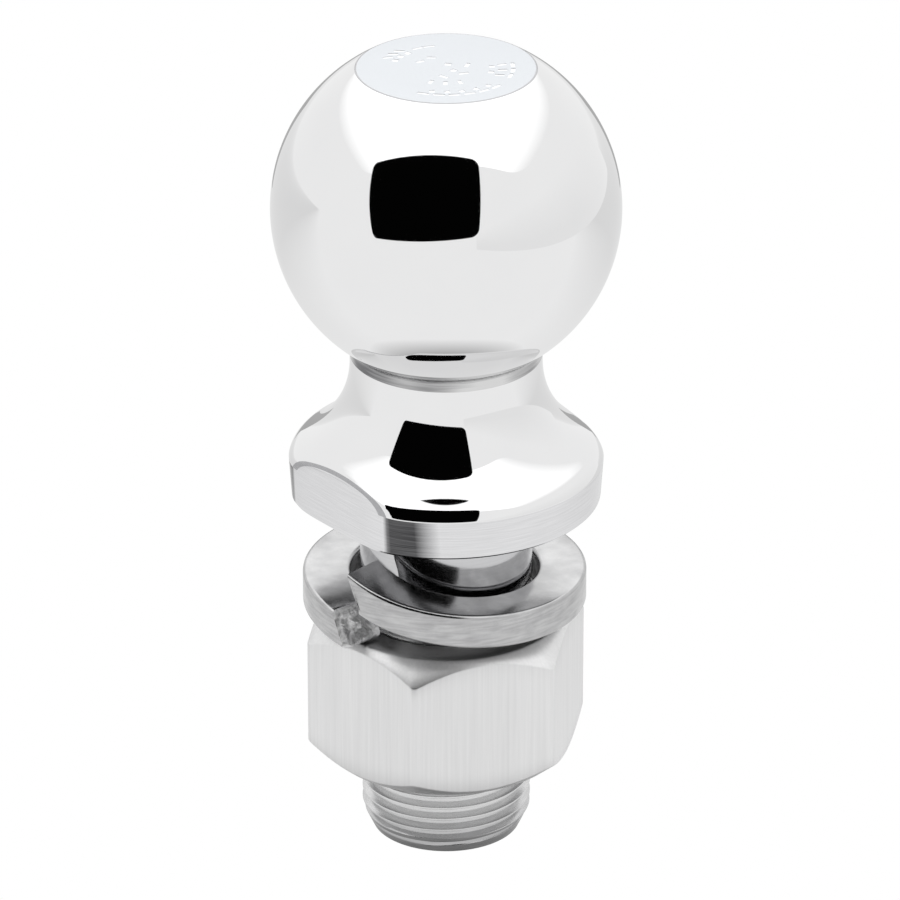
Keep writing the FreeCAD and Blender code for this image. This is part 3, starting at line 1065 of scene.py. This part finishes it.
WALL_SIDES = (-1.3, 0.5, -0.098, 0.2)
GAP_DISTANCE, GAP_GREY = 0.25, 0.45
GAP_SIDES = (-0.1, 0.1, -0.098, -0.03)


def top_light_glow(bench, place):
    """Full in the middle and fading to the tent's white along the sides."""
    left, right, _, _ = TOP_LIGHT_SIDES
    x = along(bench, place, RIGHT)
    inside = bench.math("MINIMUM", x - left, right - x)
    return (inside * (1 / TOP_LIGHT_FADE)).clamp() * TOP_LIGHT_GAIN + 1.0


def floor_glow(bench, place):
    """White in front, greyer behind, white again far off, with a painted shadow where the shank's foot
    stands.
    """
    y = along(bench, place, FRONT)
    behind = ((BEHIND_FROM - y) * (1 / BEHIND_REACH)).clamp()
    near = (1 - (-FAR_FROM - y) * (1 / FAR_REACH)).clamp()
    foot = {0: place, 1: (0, 0, FLOOR_Z)}
    offset = bench.node("ShaderNodeVectorMath", {"operation": "SUBTRACT"}, foot)
    away = bench.node("ShaderNodeVectorMath", {"operation": "LENGTH"}, {0: offset}, output=1)
    under = (1 - away * (1 / FOOT_REACH)).clamp()
    return 1.0 - behind * near * BEHIND_SHADE - under * FOOT_SHADE


def wall_glow(bench, place):
    """Grey near the floor, fading to the tent's white upwards and towards the back."""
    low = (1 - along(bench, place, UP) * (1 / WALL_SIDES[3])).clamp()
    ahead = ((along(bench, place, FRONT) + WALL_FADE) * (1 / WALL_FADE)).clamp()
    return 1.0 - low * ahead * WALL_SHADE


floor_sides = (-FLOOR_REACH, FLOOR_REACH, -FLOOR_REACH, FLOOR_REACH)
black_felt = leaning(CARD_LOW, CARD_HIGH, CARD_FOOT_DISTANCE, CARD_TOP_DISTANCE)
floor = card("floor", level(FLOOR_Z), floor_sides, 1.0, glow("pale_floor", 1.0), camera_sees=True)
floor.visible_glossy = floor.visible_diffuse = False
card("floor_in_reflections", level(FLOOR_Z - FLOOR_GAP), floor_sides, 1.0, glow("shaded_floor", floor_glow))
card("top_light", level(BALL_Z + TOP_LIGHT_HEIGHT), TOP_LIGHT_SIDES, TOP_LIGHT_CORNER,
     glow("soft_light", top_light_glow))
card("black_card", black_felt, (*CARD_SIDES, CARD_LOW, CARD_HIGH), CARD_CORNER,
     glow("black_felt", 0.001))
card("right_wall", upright(RIGHT * WALL_DISTANCE), WALL_SIDES, 0.02, glow("grey_wall", wall_glow))
card("rear_gap", upright(-FRONT * GAP_DISTANCE), GAP_SIDES, 0.002, glow("dark_gap", GAP_GREY))

world = bpy.data.worlds.new("white_tent")
world.use_nodes = True
world.node_tree.nodes["Background"].inputs["Color"].default_value = (1, 1, 1, 1)
world.node_tree.nodes["Background"].inputs["Strength"].default_value = 1.0
bpy.context.scene.world = world
bpy.context.scene.view_settings.view_transform = "Standard"

# %% [markdown]
# ## The camera
# A long lens from a little above the flange. The aim is a hair to the right of the axis, which puts the
# ball slightly left of the middle.

# %% Camera
CAMERA_DISTANCE = 1104.7 * MM
AIM = UP * 6.81 * MM + RIGHT * 0.556 * MM

lens = bpy.data.cameras.new("camera")
lens.lens = 301.96
lens.sensor_width = 36
lens.clip_start = 0.05
lens.clip_end = 50
camera = bpy.data.objects.new("camera", lens)
bpy.context.scene.collection.objects.link(camera)
camera.location = AIM + TO_CAMERA * CAMERA_DISTANCE
camera.rotation_euler = TO_CAMERA.to_track_quat("Z", "Y").to_euler()
bpy.context.scene.camera = camera
print("camera at", [round(way, 3) for way in camera.location], "m")

# %% [markdown]
# ## Finish
# The finished pieces have to fill the same box as the engineering parts.

# %% Compare sizes and finish
finished_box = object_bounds()
for label, (low, high) in (("cad", cad_box), ("finished", finished_box)):
    print(label, [round((b - a) / MM, 2) for a, b in zip(low, high)], "mm")
